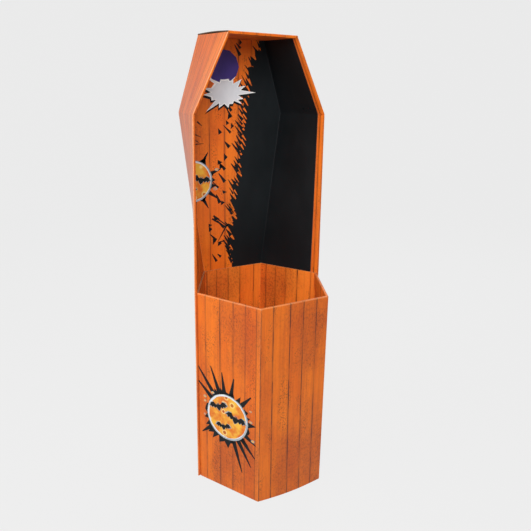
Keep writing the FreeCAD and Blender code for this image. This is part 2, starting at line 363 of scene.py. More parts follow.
# %% Raw edges and plain board
def raw_edge(name, paper, hollow_shade):
    """A cut edge: `sheet` runs along the edge and, in board thicknesses, across it."""
    made = BoardFinish(name)
    core = 1 - made.smooth(made.sums("ABSOLUTE", made.along - (made.wave() * 0.36 + 0.5)), 0.05, 0.12)
    faces = made.smooth(made.sums("ABSOLUTE", made.along - 0.5), 0.36, 0.42)
    solid = made.sums("MAXIMUM", core, faces)
    fuzz = made.noise(500, 3, 3, seed=2.0)
    # The hollows between the papers get the darker colour: painted shade.
    colour = made.coats(rgb(*hollow_shade), (solid, paper), (fuzz * 0.35, (150, 104, 66)))
    normal = made.bumped(solid + fuzz * 0.3, 0.35, 0.0008)
    return made.shade(Base_Color=colour, Roughness=0.78 + fuzz * 0.15, Normal=normal)


def plain_board(name):
    """Unprinted brown board, from its place in space, for the solids kept as they are."""
    made = Finish(name)
    place = made.node("ShaderNodeTexCoord", None, None, "Object")
    fibre, cloud = (
        made.node("ShaderNodeTexNoise", None, {"Vector": place, "Scale": scale, "Detail": detail})
        for scale, detail in ((160.0, 4.0), (12.0, 2.0)))
    colour = made.coats(
        rgb(190, 146, 98), (cloud * 0.6 + fibre * 0.4, (160, 116, 74)),
        (made.smooth(fibre, 0.62, 0.75) * 0.4, (112, 76, 46)))
    return made.shade(Base_Color=colour, Roughness=0.78 + fibre * 0.14, Normal=made.bumped(fibre, 0.25))


cut_edge = raw_edge("cut_edge", (226, 176, 132), (170, 104, 62))
# The roof's cut edges get dark brown colours: painted shade along its sides and rear.
roof_cut_shade = raw_edge("roof_edge_painted_shade", (96, 52, 30), (40, 22, 16))
brown_board = plain_board("plain_brown_board")
print("edges and plain board ready")

# %% [markdown]
# ## Collecting the faces of a sheet
# A folded sheet is a set of grids of faces, one for each flat panel, that share the
# points along their folds. The class below collects grids as numpy arrays, then
# makes one mesh, joins points that lie on each other and works out which way is out.

# %% The sheet class
JOIN_REACH = 2e-6
SHARP_FROM = math.radians(33)


def face_corners(grid):
    """The four corners of every face of a grid."""
    corners = np.stack([grid[:-1, :-1], grid[:-1, 1:], grid[1:, 1:], grid[1:, :-1]], axis=2)
    return corners.reshape(-1, *corners.shape[2:])


class Sheet:
    """The grids of faces that make one folded sheet."""

    def __init__(self):
        self.grids = []
        self.slots = []
        self.caps = []

    def grid(self, places, sheet, planks, fold, slot):
        """Adds a grid: arrays of rows by columns, with places in 3-D."""
        self.grids.append([face_corners(part) for part in (places, sheet, planks, fold)])
        self.slots += [slot] * len(self.grids[-1][0])

    def cap(self, places, slot):
        """Adds one flat face with many corners."""
        self.caps.append((places, slot))

    def make(self, name, materials):
        """Makes the mesh object, smooth over its folds and sharp at its cut edges."""
        places, sheet, planks, folds = (np.concatenate(part) for part in zip(*self.grids))
        sheet, planks, folds = sheet.reshape(-1, 2), planks.ravel(), folds.ravel()
        points = places.reshape(-1, 3).tolist()
        faces = [tuple(range(4 * i, 4 * i + 4)) for i in range(len(places))]
        for corners, slot in self.caps:
            faces.append(tuple(range(len(points), len(points) + len(corners))))
            points.extend(corners)
            self.slots.append(slot)
            along = np.array(corners)[:, 0]
            sheet = np.concatenate([sheet, np.column_stack([along, np.full(len(along), 0.5)])])
            planks = np.concatenate([planks, along])
            folds = np.concatenate([folds, np.zeros(len(along))])
        mesh = bpy.data.meshes.new(name)
        mesh.from_pydata(points, [], faces)
        for material in materials:
            mesh.materials.append(material)
        mesh.polygons.foreach_set("material_index", self.slots)
        for label, values in (("sheet", sheet), ("planks", np.column_stack([planks, sheet[:, 1]]))):
            layer = mesh.uv_layers.new(name=label)
            layer.data.foreach_set("uv", values.astype(np.float32).ravel())
        fold_map = mesh.attributes.new("fold", "FLOAT", "CORNER")
        fold_map.data.foreach_set("value", folds.astype(np.float32))
        join_points(mesh)
        return add_thing(name, mesh)


def join_points(mesh):
    """Joins the points of neighbouring grids and turns the faces outward."""
    work = bmesh.new()
    work.from_mesh(mesh)
    bmesh.ops.remove_doubles(work, verts=work.verts, dist=JOIN_REACH)
    bmesh.ops.dissolve_degenerate(work, edges=work.edges, dist=JOIN_REACH / 2)
    bmesh.ops.recalc_face_normals(work, faces=work.faces)
    work.to_mesh(mesh)
    work.free()
    mesh.polygons.foreach_set("use_smooth", [True] * len(mesh.polygons))
    mesh.set_sharp_from_angle(angle=SHARP_FROM)
    mesh.update()


print("sheet class ready")

# %% [markdown]
# ## Rounded folds
# Board never folds to a knife edge. Each corner of a sheet's outline is replaced by a short arc, and the
# outline is cut into panels at the middle of the arcs. Two more columns beside each arc keep the band of wear
# and painted highlight along the fold narrow.

# %% Panels of a folded outline
ARC_STEPS = 3
WEAR_AND_HIGHLIGHT_BAND = 0.0035


def rounded_corner(before, corner, after, radius):
    """Points of the arc that rounds a corner, from one side to the other."""
    back, ahead = before - corner, after - corner
    back_length, ahead_length = np.linalg.norm(back), np.linalg.norm(ahead)
    back, ahead = back / back_length, ahead / ahead_length
    turn = math.acos(max(-1.0, min(1.0, float(np.dot(back, ahead)))))
    trim = min(radius / math.tan(turn / 2), 0.42 * back_length, 0.42 * ahead_length)
    steps = np.linspace(0.0, 1.0, 2 * ARC_STEPS + 1)[:, None]
    start, end = corner + back * trim, corner + ahead * trim
    return start * (1 - steps) ** 2 + corner * 2 * steps * (1 - steps) + end * steps ** 2


def half_arcs(corners, index, start_radius, end_radius):
    """The halves of the two arcs that a panel owns."""
    before, here, there, after = (corners[(index + step) % len(corners)] for step in (-1, 0, 1, 2))
    start_arc = rounded_corner(before, here, there, start_radius)[ARC_STEPS:]
    return start_arc, rounded_corner(here, there, after, end_radius)[:ARC_STEPS + 1]


def panel_columns(corners, index, radii, count, folds):
    """One panel's points in plan, with the wear and painted highlight of its folds and its share of the way.
    """
    end = (index + 1) % len(corners)
    start_arc, end_arc = half_arcs(corners, index, radii[index], radii[end])
    length = np.linalg.norm(end_arc[0] - start_arc[-1])
    band = min(WEAR_AND_HIGHLIGHT_BAND, 0.3 * length)
    inside = np.linspace(0, length, count + 2)[1:-1]
    shares = np.sort(np.concatenate([[band], inside, [length - band]]) / length)[:, None]
    straight = start_arc[-1] * (1 - shares) + end_arc[0] * shares
    points = np.concatenate([start_arc, straight, end_arc])
    wear_and_highlight = np.zeros(len(points))
    wear_and_highlight[:ARC_STEPS + 1] = folds[index]
    wear_and_highlight[-(ARC_STEPS + 1):] = folds[end]
    way = np.concatenate([np.zeros(len(start_arc)), shares[:, 0], np.ones(len(end_arc))])
    return points, wear_and_highlight, way


def plank_number(lengths, joints, first):
    """Counts planks along a panel: whole numbers fall on the joints."""
    return np.interp(lengths, joints, np.arange(len(joints))) + first


print("an arc has", 2 * ARC_STEPS + 1, "points")

# %% [markdown]
# ## The header's outline
# The header widens from the bin to its shoulder and narrows to its roof. The
# half widths at the front and at the back are straight lines through four levels,
# with each bend rounded over a few millimetres, as the scored board bends.

# %% Half widths of the header
LEVELS = (0.0, RIM, SHOULDER, STAND_TOP)
FRONT_HALVES = (0.270, 0.270, 0.265, 0.129)
BACK_HALVES = (0.136, 0.136, 0.219, 0.132)
BEND = 0.006
ROW_STEP = 0.035


def bent(height, values):
    """The value at a height, on straight lines with rounded bends."""
    result = float(np.interp(height, LEVELS, values))
    slopes = np.diff(values) / np.diff(LEVELS)
    for index in (1, 2):
        reach = BEND - abs(height - LEVELS[index])
        if reach > 0:
            result += (slopes[index] - slopes[index - 1]) * reach * reach / (4 * BEND)
    return result


def wall_point(height, depth, offset, side):
    """A point of the side wall: in from the front by a depth, out by an offset."""
    front = bent(height, FRONT_HALVES)
    slope = (front - bent(height, BACK_HALVES)) / BACK_DEPTH
    half = front - depth * slope + offset * math.sqrt(1 + slope * slope)
    return np.array([side * half, FRONT_LINE + depth])


def heights_between(low, high, step, extra=()):
    """Heights for the rows of a sheet, with close rows at its bends."""
    rows = set(np.round(np.linspace(low, high, int((high - low) / step) + 2), 5))
    for bend in (RIM, SHOULDER):
        rows.update(round(bend + part * BEND / 3, 5) for part in range(-3, 4))
    rows.update(extra)
    return sorted({min(max(height, low), high) for height in rows if low - 1e-5 < height < high + 1e-5})


print("opening at the shoulder:", round(2 * bent(SHOULDER, FRONT_HALVES), 3), "m wide")

# %% [markdown]
# ## Lofting a folded sheet
# With the outline at each height, a panel is a grid of rows and columns. The loft
# below walks round the outline panel by panel, and closes both ends. A panel says
# along which axis its print is measured, where its plank joints fall and which
# finish it has. An edge panel runs its print along the cut instead.

# %% The loft
BLACK = 1
SIDEWAYS, INWARD = 0, 1
Panel = namedtuple("Panel", "slot axis joints first columns edge black_columns", defaults=(False, 0))


def loft(sheet, rows, outline, radii, folds, panels, end_slot):
    """Adds the panels of an outline, lofted through rows of (height, key)."""
    levels = np.array([height for height, key in rows])
    outlines = [outline(height, key) for height, key in rows]
    ends = ([], [])
    for index, panel in enumerate(panels):
        made = [panel_columns(corners, index, radii, panel.columns, folds) for corners in outlines]
        plans = np.array([points for points, wear_and_highlight, way in made])
        wears_and_highlights = np.array([wear_and_highlight for points, wear_and_highlight, way in made])
        width = plans.shape[1]
        heights = levels[:, None].repeat(width, axis=1)
        places = np.dstack([plans, heights])
        lengths = plans[:, :, panel.axis] - (0.0, FRONT_LINE)[panel.axis]
        steps = np.linspace(0, 1, width)[None, :].repeat(len(rows), axis=0)
        print_map = np.dstack([heights, steps] if panel.edge else [lengths, heights])
        planks = plank_number(lengths, panel.joints, panel.first)
        last = width - panel.black_columns
        cuts = [(slice(0, last), panel.slot)]
        if panel.black_columns:
            cuts.append((slice(last - 1, None), BLACK))
        for cut, slot in cuts:
            sheet.grid(places[:, cut], print_map[:, cut], planks[:, cut], wears_and_highlights[:, cut], slot)
        for ring, row in zip(ends, (0, -1)):
            ring += [tuple(point) for point in places[row, :-1]]
    for ring in ends:
        sheet.cap(ring, end_slot)


def joints_from(low, high, width, seed):
    """Joints of planks of about one width, each a little different."""
    chance = random.Random(seed)
    places = [low]
    while places[-1] < high:
        places.append(places[-1] + width * chance.uniform(0.85, 1.15))
    return tuple(places)


print("joints of a wall:", [round(j, 3) for j in joints_from(-0.03, 0.28, 0.053, 4)])

# %% [markdown]
# ## The header's outer sheet
# One sheet makes the back, both long sides and the front edges, which are turned in
# behind the lining's edge. It is lofted as one closed outline, so the turned-in edge
# and the fold before it are real. The turned-in edge has a narrow gap where the
# lower and the upper part meet at the shoulder.

# %% Outline and panels of the outer sheet
WALL_TOP = STAND_TOP - BOARD
NOTCH = 0.003
PRINT, EDGE, INSIDE_PAINTED_DARK, TURNED = 0, 1, 2, 3


def shell_outline(height, key):
    """The closed outline of the outer sheet, from the left turned-in edge round."""
    inner = 0.0 if key == "hem" else SHELL_INSIDE - 0.0002
    rear, rear_inside = BACK_DEPTH + SHELL_OUTSIDE, BACK_DEPTH + SHELL_INSIDE
    outside = ((HEM, inner), (0.0, inner), (0.0, SHELL_OUTSIDE), (rear, SHELL_OUTSIDE))
    inside = ((HEM, SHELL_INSIDE), (rear_inside, SHELL_INSIDE))
    corners = [(-1, outside), (1, outside[::-1]), (1, inside), (-1, inside[::-1])]
    return [wall_point(height, depth, offset, side) for side, path in corners for depth, offset in path]


wall_joints = joints_from(-0.015, 0.30, 0.050, 4)
hem_joints = (-0.03, 0.0125, 0.06)
back_joints = joints_from(-0.30, 0.30, 0.056, 9)
shell_panels = (
    Panel(TURNED, INWARD, hem_joints, 200, 2),
    Panel(PRINT, SIDEWAYS, back_joints, 210, 1),
    Panel(PRINT, INWARD, wall_joints, 220, 9),
    Panel(PRINT, SIDEWAYS, back_joints, 240, 14),
    Panel(PRINT, INWARD, wall_joints, 270, 9),
    Panel(PRINT, SIDEWAYS, back_joints, 290, 1),
    Panel(TURNED, INWARD, hem_joints, 310, 2),
    Panel(EDGE, SIDEWAYS, back_joints, 320, 1, True),
    Panel(INSIDE_PAINTED_DARK, INWARD, wall_joints, 330, 5),
    Panel(INSIDE_PAINTED_DARK, SIDEWAYS, back_joints, 350, 8),
    Panel(INSIDE_PAINTED_DARK, INWARD, wall_joints, 370, 5),
    Panel(EDGE, SIDEWAYS, back_joints, 390, 1, True),
)
SHELL_RADII = (0.0010, 0.0014, 0.0022, 0.0045, 0.0045, 0.0022, 0.0014, 0.0010, 0.0002, 0.001, 0.001, 0.0002)
SHELL_FOLDS = (0.55, 0.35, 0.85, 0.6, 0.6, 0.45, 0.20, 0.30, 0.0, 0.0, 0.0, 0.0)
print("outer sheet:", len(shell_panels), "panels")

# %% Make the outer sheet
low_side, high_side = SHOULDER - NOTCH / 2, SHOULDER + NOTCH / 2
notch_ends = {low_side: ("hem", "notch"), high_side: ("notch", "hem")}
shell_rows = []
for height in heights_between(0.0, WALL_TOP, ROW_STEP, (low_side, high_side)):
    here = "notch" if low_side < height < high_side else "hem"
    shell_rows += [(height, key) for key in notch_ends.get(height, (here,))]
shell = Sheet()
loft(shell, shell_rows, shell_outline, SHELL_RADII, SHELL_FOLDS, shell_panels, EDGE)
# The outer sheet's inside faces take the lining's black ink: painted shade, so the lining's holes look dark.
header_outer = shell.make("header_outer_sheet", [wall_planks, cut_edge, lining_black, liner_planks])
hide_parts("header_shell")
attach(header_outer, "root")
print("outer sheet:", len(header_outer.data.polygons), "faces")

# %% [markdown]
# ## The roof
# The roof is a flap of the outer sheet. It lies on the walls, is bowed up a little
# between front and back, and is turned in below its front edge. Its outline in side
# view is extruded from wall to wall, so the same rounded folds can be used. The
# whole top rises a few millimetres to the rear.

# %% Make the roof
ROOF_BOW = 0.0025
REAR_RISE = 0.006
ROOF_COLUMNS = 16


def raise_rear(thing):
    """Lifts the rear of the header's top a little, so the roof rises to the back."""
    for vertex in thing.data.vertices:
        high = max(0.0, (vertex.co.z - SHOULDER) / (STAND_TOP - SHOULDER))
        vertex.co.z += REAR_RISE * high * max(0.0, vertex.co.y - FRONT_LINE) / BACK_DEPTH


def roof_sheet(name, side_view, radii, offsets, slots, folds, materials, bowed, first):
    """Extrudes a closed side view, in (depth, height), from wall to wall."""
    made = Sheet()
    shares = np.linspace(0, 1, ROOF_COLUMNS + 1)
    sides = ([], [])
    for index, slot in enumerate(slots):
        bow, columns = (ROOF_BOW, 8) if index in bowed else (0.0, 1)
        points, wear_and_highlight, way = panel_columns(side_view, index, radii, columns, folds)
        start, end = offsets[index], offsets[(index + 1) % len(offsets)]
        rows = []
        for (depth, height), part in zip(points, way):
            offset = start + (end - start) * part
            top = height + bow * math.sin(math.pi * max(0.0, min(1.0, depth / BACK_DEPTH)))
            left, right = (wall_point(min(height, STAND_TOP), depth, offset, side) for side in (-1, 1))
            rows.append([(*(left * (1 - share) + right * share), top) for share in shares])
        places = np.array(rows)
        lengths = places[:, :, 0]
        second = way[:, None] if slot == EDGE else points[:, :1] + points[:, 1:]
        print_map = np.dstack([lengths, second.repeat(len(shares), axis=1)])
        fold = wear_and_highlight[:, None].repeat(len(shares), axis=1)
        made.grid(places, print_map, plank_number(lengths, back_joints, first), fold, slot)
        for ring, end_column in zip(sides, (0, -1)):
            ring += [row[end_column] for row in rows[:-1]]
    for ring in sides:
        made.cap(ring, EDGE)
    return made.make(name, materials)


REAR = BACK_DEPTH + SHELL_OUTSIDE
roof_view = [np.array(corner) for corner in (
    (0.0, STAND_TOP), (REAR, STAND_TOP), (REAR, WALL_TOP), (HEM, WALL_TOP),
    (HEM, OPENING_TOP), (0.0, OPENING_TOP), (0.0, WALL_TOP))]
header_roof = roof_sheet(
    "header_roof_flap", roof_view, (0.0022, 0.0030, 0.0006, 0.0002, 0.0010, 0.0014, 0.0),
    (SHELL_OUTSIDE, SHELL_OUTSIDE, SHELL_OUTSIDE, SHELL_OUTSIDE, 0.0005, 0.0005, SHELL_OUTSIDE),
    (PRINT, EDGE, INSIDE_PAINTED_DARK, EDGE, PRINT, PRINT, PRINT), (0.6, 0.7, 0.0, 0.0, 0.5, 0.3, 0.0),
    [wall_planks, roof_cut_shade, lining_black], (0, 2), 400)
raise_rear(header_outer)
raise_rear(header_roof)
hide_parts("header_shell")
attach(header_roof, "root")
print("roof:", len(header_roof.data.polygons), "faces")

# %% [markdown]
# ## The printed lining
# The lining lies against the outer sheet behind its turned-in edge. Its left side
# and its back carry planks, and its right side is all black. Two small holes are
# punched in each side above the shoulder. They are cut with the Boolean modifier,
# which keeps the print coordinates of the faces it leaves.

# %% Make the lining
LINER_FRONT = HEM + GAP
LINER_TOP = OPENING_TOP - 0.0001
LINER_EDGE = 2


def liner_outline(height, key):
    """The closed outline of the lining: its inner face, then its outer face."""
    inside, outside = (LINER_FRONT, BACK_DEPTH), (LINER_FRONT, BACK_DEPTH + BOARD)
    corners = ((-1, 0.0, inside), (1, 0.0, inside[::-1]), (1, BOARD, outside), (-1, BOARD, outside[::-1]))
    return [wall_point(height, depth, offset, side) for side, offset, depths in corners for depth in depths]


lining_back_joints = (-0.27, -0.215, -0.165, -0.105, -0.037, 0.022, 0.080, 0.137, 0.196, 0.25)
lining_wall_joints = (-0.02, 0.030, 0.085, 0.138, 0.192, 0.250)
liner_panels = (
    Panel(PRINT, INWARD, lining_wall_joints, 500, 8),
    Panel(PRINT, SIDEWAYS, lining_back_joints, 520, 14, False, 5),
    Panel(BLACK, INWARD, lining_wall_joints, 540, 8),
    Panel(LINER_EDGE, SIDEWAYS, back_joints, 550, 1, True),
    Panel(LINER_EDGE, INWARD, wall_joints, 560, 4),
    Panel(LINER_EDGE, SIDEWAYS, back_joints, 570, 6),
    Panel(LINER_EDGE, INWARD, wall_joints, 580, 4),
    Panel(LINER_EDGE, SIDEWAYS, back_joints, 590, 1, True),
)
LINER_RADII = (0.0003, 0.0030, 0.0030, 0.0003, 0.0003, 0.004, 0.004, 0.0003)
LINER_FOLDS = (0.0, 0.55, 0.35, 0.0, 0.0, 0.0, 0.0, 0.0)
liner = Sheet()
liner_rows = [(height, "flat") for height in heights_between(0.0, LINER_TOP, ROW_STEP)]
loft(liner, liner_rows, liner_outline, LINER_RADII, LINER_FOLDS, liner_panels, LINER_EDGE)
header_lining = liner.make("header_lining", [liner_planks, lining_black, cut_edge])
print("lining:", len(header_lining.data.polygons), "faces")

# %% Punch the holes
HOLE = 0.008
HOLE_HEIGHT = SHOULDER + 0.017
HOLE_DEPTHS = (0.062, 0.096)


def punch_rod(depth, side):
    """A thin rod that crosses one wall, to cut a hole with."""
    work = bmesh.new()
    turn = Matrix.Rotation(math.radians(90), 4, "Y")
    bmesh.ops.create_cone(
        work, cap_ends=True, segments=24, radius1=HOLE / 2, radius2=HOLE / 2, depth=0.03, matrix=turn)
    rod = add_thing("punch", mesh_from(work, "punch", [lining_black]))
    rod.location = (*wall_point(HOLE_HEIGHT, depth, BOARD / 2, side), HOLE_HEIGHT)
    return rod


rods = [punch_rod(depth, side) for depth in HOLE_DEPTHS for side in (-1, 1)]
for rod in rods:
    cut = header_lining.modifiers.new("punch", "BOOLEAN")
    cut.operation = "DIFFERENCE"
    cut.solver = "EXACT"
    cut.object = rod
bpy.context.view_layer.update()
depsgraph = bpy.context.evaluated_depsgraph_get()
punched = bpy.data.meshes.new_from_object(header_lining.evaluated_get(depsgraph))
header_lining.modifiers.clear()
header_lining.data = punched
for rod in rods:
    bpy.data.objects.remove(rod)
raise_rear(header_lining)
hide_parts("header_liner")
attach(header_lining, "root")
print("lining with holes:", len(punched.polygons), "faces")

# %% Make the lining's roof flap
flap_low, flap_high = OPENING_TOP + GAP, WALL_TOP - GAP
flap_view = [np.array(corner) for corner in (
    (LINER_FRONT, flap_low), (BACK_DEPTH, flap_low), (BACK_DEPTH, flap_high), (LINER_FRONT, flap_high))]
lining_roof = roof_sheet(
    "header_lining_roof", flap_view, (0.0003, 0.0020, 0.0003, 0.0003), (0.0005,) * 4,
    (PRINT, EDGE, EDGE, EDGE), (0.0, 0.4, 0.0, 0.0), [liner_planks, cut_edge, lining_black], (), 600)
raise_rear(lining_roof)
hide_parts("header_liner")
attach(lining_roof, "root")
print("lining roof:", len(lining_roof.data.polygons), "faces")

# %% [markdown]
# ## The bin's sleeve
# The sleeve is a six-sided ring. Its section is swept round the ring: up the outside,
# over the rim, and down the inside. The three front panels are turned in and doubled
# at the rim, the three back panels end in a cut edge. Each panel's line is moved in
# by its own amount, and the corners are where neighbouring lines cross.

# %% The ring's outline
FRONT_HALF = 0.144
RING = [np.array((x, FRONT_LINE + y)) for x, y in (
    (-FRONT_HALVES[0], 0.0), (-FRONT_HALF, -FRONT_DEPTH), (FRONT_HALF, -FRONT_DEPTH),
    (FRONT_HALVES[0], 0.0), (BACK_HALVES[0], BACK_DEPTH), (-BACK_HALVES[0], BACK_DEPTH))]
DOUBLED = (1, 1, 1, 0, 0, 0)
RIM_ROUND = 0.0035
RIM_WEAR_AND_HIGHLIGHT = 0.62
CUT_ROUND = 0.0008
STRAIGHT_TOP = RIM - 0.008
TINY = 0.0001
INNER = 2


def moved_in(insets):
    """The ring's corners when each panel moves in by its own inset."""
    lines = []
    for index, inset in enumerate(insets):
        across = RING[(index + 1) % 6] - RING[index]
        inward = np.array([-across[1], across[0]]) / np.linalg.norm(across)
        lines.append((RING[index] + inward * inset, across))
    corners = []
    for index in range(6):
        (p, d), (q, e) = lines[index - 1], lines[index]
        corners.append(p + d * np.linalg.solve(np.column_stack([d, -e]), q - p)[0])
    return corners


def sleeve_parts():
    """The section in parts: finish on doubled and on single panels, joints, and rows.

    A row holds the height and inset of the doubled panels, the same of the single panels, and the wear and
    painted highlight of the doubled ones.
    """
    turn = [(math.sin(angle), 1 - math.cos(angle)) for angle in np.linspace(0, math.pi / 2, 6)]
    inner = GAP + 2 * BOARD
    middle = GAP + BOARD
    flat = inner - GAP - 2 * RIM_ROUND
    outside = [(z, GAP, z, GAP, 0.0) for z in np.linspace(0.0, STRAIGHT_TOP, 25)]
    outside += [
        (RIM - RIM_ROUND * (1 - up), GAP + RIM_ROUND * over,
         RIM - CUT_ROUND * (1 - up), GAP + TINY * up, RIM_WEAR_AND_HIGHLIGHT)
        for up, over in turn]
    top = [(RIM, GAP + RIM_ROUND + flat * part, RIM, GAP + BOARD * part, 0.5) for part in (0.3, 0.7)]
    fall = [
        (RIM - RIM_ROUND * (1 - up), inner - RIM_ROUND * over,
         RIM - CUT_ROUND * (1 - up), middle - TINY * up, RIM_WEAR_AND_HIGHLIGHT)
        for up, over in reversed(turn)]
    hem_end = RIM - RIM_HEM
    hem = [(z, inner, z, middle, 0.0) for z in np.linspace(STRAIGHT_TOP, hem_end, 4)]
    inside = [(z, middle, z, middle, 0.0) for z in np.linspace(hem_end - 0.02, 0.0, 24)]
    return (
        (PRINT, PRINT, OUTSIDE_JOINTS, outside),
        (PRINT, EDGE, INSIDE_JOINTS, top + fall[:1]),
        (INNER, INNER, INSIDE_JOINTS, fall[1:] + hem),
        (EDGE, EDGE, INSIDE_JOINTS, [(hem_end, middle + TINY, hem_end, middle, 0.0)]),
        (INNER, INNER, INSIDE_JOINTS, inside),
        (EDGE, EDGE, INSIDE_JOINTS, [(0.0, GAP, 0.0, GAP, 0.0)]))


print("ring's corners:", len(moved_in([GAP] * 6)))

# %% [markdown]
# The print's joints are measured from each panel's first corner. The front panel's
# board stands out a little at the floor, where nothing holds its middle.

# %% Make the sleeve
FRONT_BOW = 0.010
BOW_HEIGHT = 0.7
CORNER_WEAR_AND_HIGHLIGHT = 0.45
EVEN_JOINTS = (-0.01, 0.05, 0.11, 0.16, 0.22, 0.28)
INNER_JOINTS = (-0.01, 0.05, 0.11, 0.17, 0.23, 0.30)
OUTSIDE_JOINTS = (
    (-0.01, 0.037, 0.105, 0.165, 0.219, 0.2675, 0.30),
    (-0.02, 0.0022, 0.0525, 0.1235, 0.180, 0.2365, 0.31),
    (-0.01, 0.044, 0.101, 0.158, 0.214, 0.268, 0.32),
    EVEN_JOINTS, EVEN_JOINTS, EVEN_JOINTS)
INSIDE_JOINTS = (
    INNER_JOINTS, INNER_JOINTS,
    (-0.01, 0.06, 0.12, 0.18, 0.24, 0.30),
    (-0.02, 0.024, 0.088, 0.143, 0.193, 0.239, 0.30),
    (-0.02, 0.037, 0.106, 0.162, 0.217, 0.261, 0.30),
    INNER_JOINTS)


def sleeve_points(index, row, shares):
    """One panel's points on one row of the section, with their wear and painted highlight."""
    high, inset, single_high, single_inset, wear_and_highlight = row
    corners = moved_in([inset if doubled else single_inset for doubled in DOUBLED])
    radius = 0.006 if inset < BOARD else 0.0012
    start_arc, end_arc = half_arcs(corners, index, radius, radius)
    points = np.concatenate([start_arc, start_arc[-1] * (1 - shares) + end_arc[0] * shares, end_arc])
    height = high if DOUBLED[index] else single_high
    if index == 1:
        along = np.clip((points[:, 0] + FRONT_HALF) / (2 * FRONT_HALF), 0, 1)
        points[:, 1] -= np.sin(np.pi * along) * FRONT_BOW * max(0.0, 1 - height / BOW_HEIGHT) ** 1.6
    wears_and_highlights = np.full(len(points), wear_and_highlight if DOUBLED[index] else 0.0)
    for band in (slice(0, ARC_STEPS + 1), slice(-(ARC_STEPS + 1), None)):
        wears_and_highlights[band] = np.maximum(wears_and_highlights[band], CORNER_WEAR_AND_HIGHLIGHT)
    return np.column_stack([points, np.full(len(points), height)]), wears_and_highlights


sleeve = Sheet()
for index in range(6):
    start = RING[index]
    length = np.linalg.norm(RING[(index + 1) % 6] - start)
    direction = (RING[(index + 1) % 6] - start) / length
    inside = [joint / length for joint in OUTSIDE_JOINTS[index] + INSIDE_JOINTS[index]]
    inside = [share for share in inside if 0.03 < share < 0.97]
    inside = np.unique(np.round(np.concatenate([np.linspace(0.06, 0.94, 9), inside]), 4))
    shares = np.concatenate([[WEAR_AND_HIGHLIGHT_BAND / length], inside, [1 - WEAR_AND_HIGHLIGHT_BAND / length]])[:, None]
    last_row = []
    for doubled_slot, single_slot, joints, rows in sleeve_parts():
        made = [sleeve_points(index, row, shares) for row in last_row + rows]
        last_row = rows[-1:]
        grid = np.array([points for points, wears_and_highlights in made])
        slot = doubled_slot if DOUBLED[index] else single_slot
        lengths = (grid[:, :, :2] - start) @ direction
        print_map = np.stack([lengths, grid[:, :, 2]], axis=2)
        if slot == EDGE:
            print_map[:, :, 1] = np.linspace(0, 1, len(grid))[:, None]
        first = 700 + 10 * index + (100 if joints is INSIDE_JOINTS else 0)
        planks = plank_number(lengths, joints[index], first)
        sleeve.grid(grid, print_map, planks, np.array([wears_and_highlights for points, wears_and_highlights in made]), slot)
# The inner panels take the lighter inside print, which is painted light.
bin_ring = sleeve.make("bin_sleeve_ring", [bin_planks, cut_edge, inner_planks_painted_light])
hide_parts("bin_sleeve")
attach(bin_ring, "root")
print("sleeve:", len(bin_ring.data.polygons), "faces")

# %% [markdown]
# ## Printed shapes
# The black field with its splintered edge, the burst, the roundel and the night
# motif are crisp areas of ink. A noise texture can't give such edges, and an image
# isn't used, so each one is a flat shape, cut with its own outline and laid a fifth
# of a millimetre above the sheet. The shapes are generic and are made in code.

# %% Flat inks
def flat_ink(name, light, deep, rough):
    """An even ink with a little cloudiness and the flutes of the board below it."""
    made = BoardFinish(name)
    cloud = made.noise(16, 10, 3, seed=8.0)
    dust = made.noise(500, 300, 2, seed=4.0)
    colour = made.coats(
        rgb(*light), (made.smooth(cloud, 0.3, 0.7), deep),
        (made.smooth(dust, 0.62, 0.78) * 0.12, (90, 80, 76)))
    normal = made.bumped(made.flutes() * 0.4 + dust * 0.15)
    return made.shade(Base_Color=colour, Roughness=rough + cloud * 0.1, Normal=normal, Specular_IOR_Level=0.4)


def moon_ink(name):
    """A warm moon: a yellow to orange face with ringed hollows."""
    made = BoardFinish(name)
    place = made.stretched(26, 26, 3.0)
    hollows = made.node("ShaderNodeTexVoronoi", None, {"Vector": place, "Scale": 1.0, "Randomness": 0.9})
    cloud = made.noise(22, 22, 4, seed=2.0)
    ring = made.smooth(hollows, 0.18, 0.24) * (1 - made.smooth(hollows, 0.26, 0.34))
    pit = 1 - made.smooth(hollows, 0.16, 0.22)
    colour = made.coats(
        rgb(244, 186, 62), (made.smooth(cloud, 0.35, 0.65), (222, 104, 24)),
        (pit * 0.75, (170, 58, 14)), (ring * 0.7, (250, 224, 150)))
    normal = made.bumped(made.flutes() * 0.4)
    return made.shade(Base_Color=colour, Roughness=0.42 + cloud * 0.1, Normal=normal, Specular_IOR_Level=0.4)


INKS = [
    lining_black,
    flat_ink("ink_white", (252, 252, 250), (246, 247, 247), 0.4),
    flat_ink("ink_grey", (230, 233, 237), (220, 224, 229), 0.4),
    flat_ink("ink_violet", (68, 52, 132), (58, 44, 116), 0.45),
    moon_ink("ink_moon"),
    flat_ink("ink_steel", (178, 186, 192), (132, 142, 150), 0.4),
    liner_planks,
]
BLACK_INK, WHITE_INK, GREY_INK, VIOLET_INK, MOON_INK, STEEL_INK, PLANK_INK = range(7)
print("inks:", len(INKS))

# %% [markdown]
# An outline is a list of points in metres: along the panel, and up from the floor.
# Chance comes from a seeded generator, so each run draws the same shapes.

# %% Shapes
def polar(centre, turn, wide, tall=None):
    """The point at an angle round a centre."""
    return centre[0] + wide * math.cos(turn), centre[1] + (wide if tall is None else tall) * math.sin(turn)


